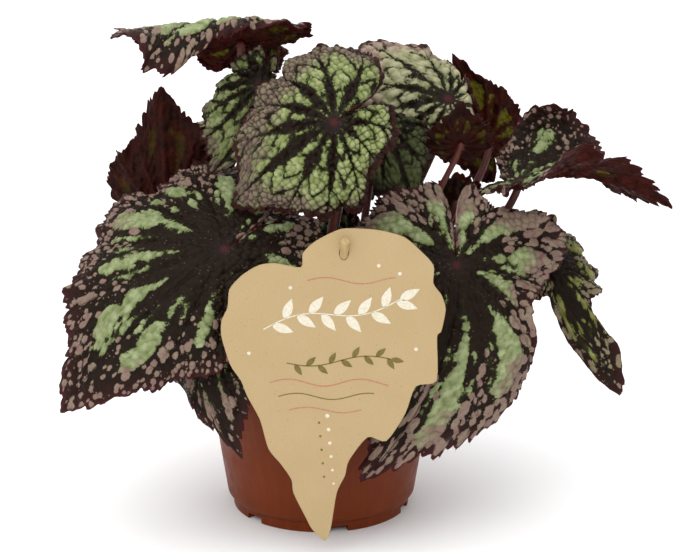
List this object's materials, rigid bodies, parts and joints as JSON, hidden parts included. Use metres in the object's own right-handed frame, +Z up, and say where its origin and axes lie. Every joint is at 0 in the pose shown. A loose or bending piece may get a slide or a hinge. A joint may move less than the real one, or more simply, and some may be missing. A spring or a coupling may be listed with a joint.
{
  "type": "potted rex begonia",
  "caption": "Foliage house plant with puckered, silver-green and dark leaves on red stalks, in a terracotta-coloured nursery pot with a plain card label on a stick.",
  "frame": {"origin": "centre of the pot's base, on the surface that the pot stands on", "axes": "+Z up; the label and the front of the plant face -Y; +X is to the right as seen from the front"},
  "size_m": [0.3001, 0.184, 0.2525],
  "materials": {
    "blade": "puckered leaf, satin",
    "stalk": "hairy, satin",
    "pot": "satin",
    "soil": "loose peat, rough",
    "rhizome": "rough",
    "card": "uncoated kraft card",
    "stick": "bare"
  },
  "bodies": {
    "root": {"blade_back_centre": "blade", "blade_back_left": "blade", "blade_back_low_left": "blade", "blade_back_low_right": "blade", "blade_back_right": "blade", "blade_centre": "blade", "blade_curled_right": "blade", "blade_far_right": "blade", "blade_front_left": "blade", "blade_front_right": "blade", "blade_left_behind": "blade", "blade_left_upright": "blade", "blade_low_left": "blade", "blade_low_right": "blade", "blade_mid_left": "blade", "blade_mid_right": "blade", "blade_right_upright": "blade", "blade_top_centre": "blade", "blade_top_left": "blade", "blade_young_right": "blade", "label_card": "card", "label_stick": "stick", "pot": "pot", "rhizome": "rhizome", "soil": "soil", "stalk_back_centre": "stalk", "stalk_back_left": "stalk", "stalk_back_low_left": "stalk", "stalk_back_low_right": "stalk", "stalk_back_right": "stalk", "stalk_centre": "stalk", "stalk_curled_right": "stalk", "stalk_far_right": "stalk", "stalk_front_left": "stalk", "stalk_front_right": "stalk", "stalk_left_behind": "stalk", "stalk_left_upright": "stalk", "stalk_low_left": "stalk", "stalk_low_right": "stalk", "stalk_mid_left": "stalk", "stalk_mid_right": "stalk", "stalk_right_upright": "stalk", "stalk_top_centre": "stalk", "stalk_top_left": "stalk", "stalk_young_right": "stalk"}
  },
  "joints": []
}
